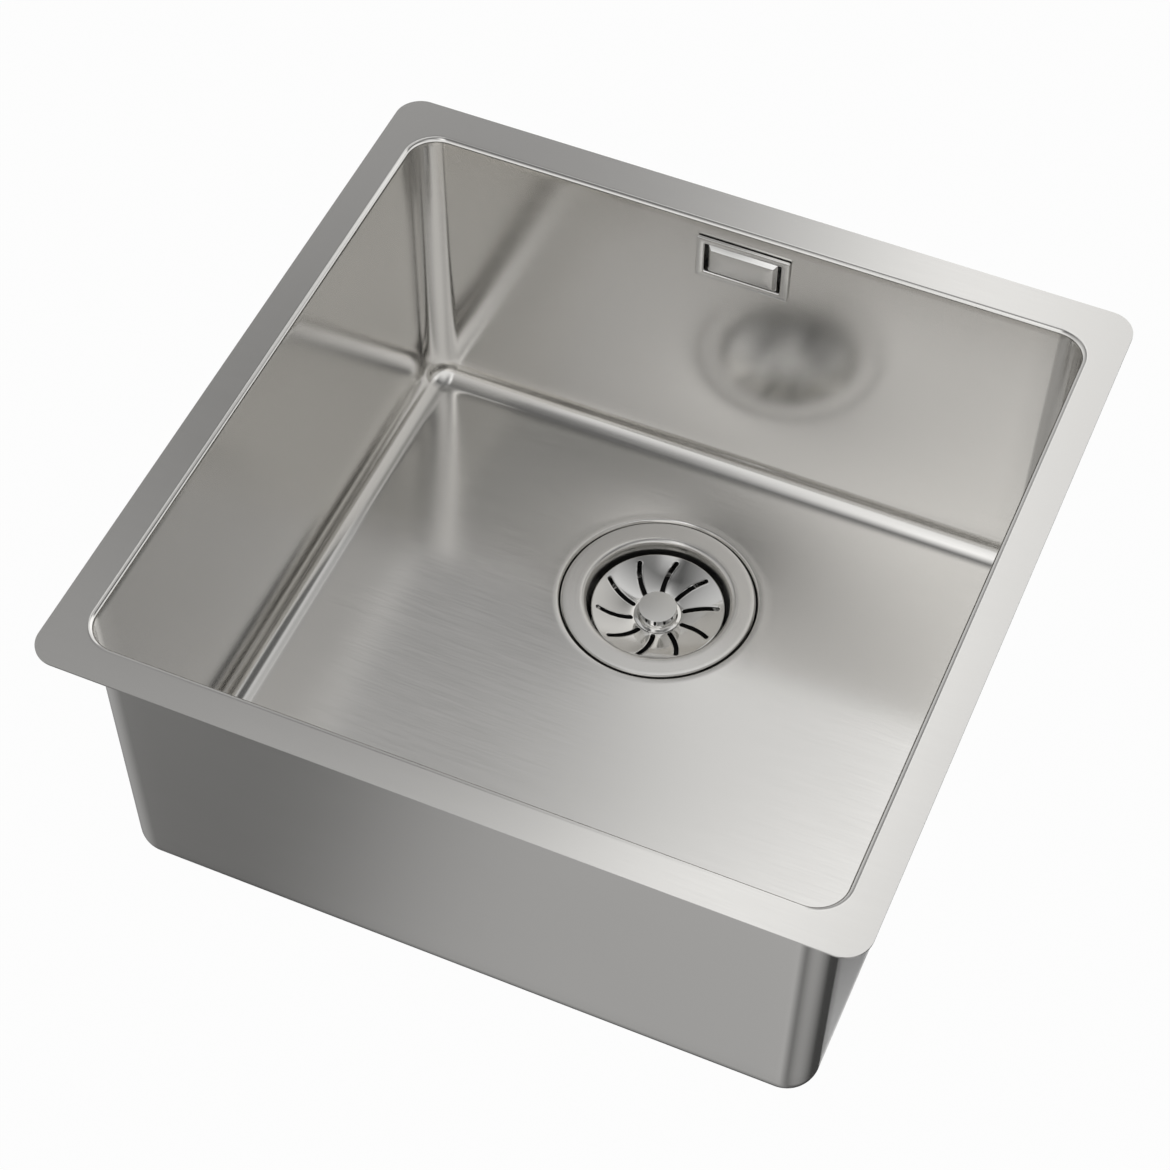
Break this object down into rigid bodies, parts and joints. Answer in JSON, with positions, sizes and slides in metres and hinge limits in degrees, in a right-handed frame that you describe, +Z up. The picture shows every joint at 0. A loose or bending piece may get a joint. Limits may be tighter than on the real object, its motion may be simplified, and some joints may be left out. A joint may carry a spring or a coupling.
{
  "type": "undermount kitchen sink",
  "caption": "Square drawn steel sink bowl with a flat rim to bond under a worktop, a lift-out basket strainer waste and a piped overflow.",
  "frame": {"origin": "centre of the rim's square outline, in the plane of its top face", "axes": "+X to the right, +Y towards the wall with the overflow, +Z up, out of the bowl"},
  "size_m": [0.44, 0.4501, 0.2854],
  "materials": {
    "bowl_steel": "fine satin brush",
    "waste_steel": "satin",
    "overflow_steel": "satin",
    "polished_steel": "polished",
    "screw_steel": "plain",
    "brass": "turned",
    "rubber": "matt",
    "white_plastic": "moulded",
    "stem_plastic": "moulded",
    "damping_pad": "matt bitumen sheet"
  },
  "bodies": {
    "sink": {"bowl": "bowl_steel", "damping_pad": "damping_pad", "strainer_cup": "waste_steel", "flange_gasket": "rubber", "body_gasket": "rubber", "waste_body": "white_plastic", "waste_tail": "white_plastic", "clamp_insert": "brass", "clamp_screw": "screw_steel", "overflow_frame": "overflow_steel", "overflow_gasket": "rubber", "overflow_housing": "white_plastic", "overflow_insert": "brass", "overflow_screw": "screw_steel", "overflow_pipe": "white_plastic", "upper_union_nut": "white_plastic", "upper_union_seal": "rubber", "lower_union_nut": "white_plastic", "lower_union_seal": "rubber"},
    "seal": {"plug_seal": "rubber"},
    "plug": {"strainer_dish": "polished_steel", "plug_knob": "polished_steel", "plug_stem": "stem_plastic", "stem_screw": "screw_steel"},
    "cover": {"overflow_cover": "overflow_steel"}
  },
  "joints": [
    {"name": "plug_lift", "type": "slide", "parent": "sink", "child": "seal", "axis": [0, 0, 1], "range_m": [0, 0.08]},
    {"name": "plug_turn", "type": "hinge", "parent": "seal", "child": "plug", "pos_m": [0, 0.0825, -0.21], "axis": [0, 0, 1], "continuous": true},
    {"name": "cover_pull", "type": "slide", "parent": "sink", "child": "cover", "axis": [0, -1, 0], "range_m": [0, 0.03]}
  ]
}
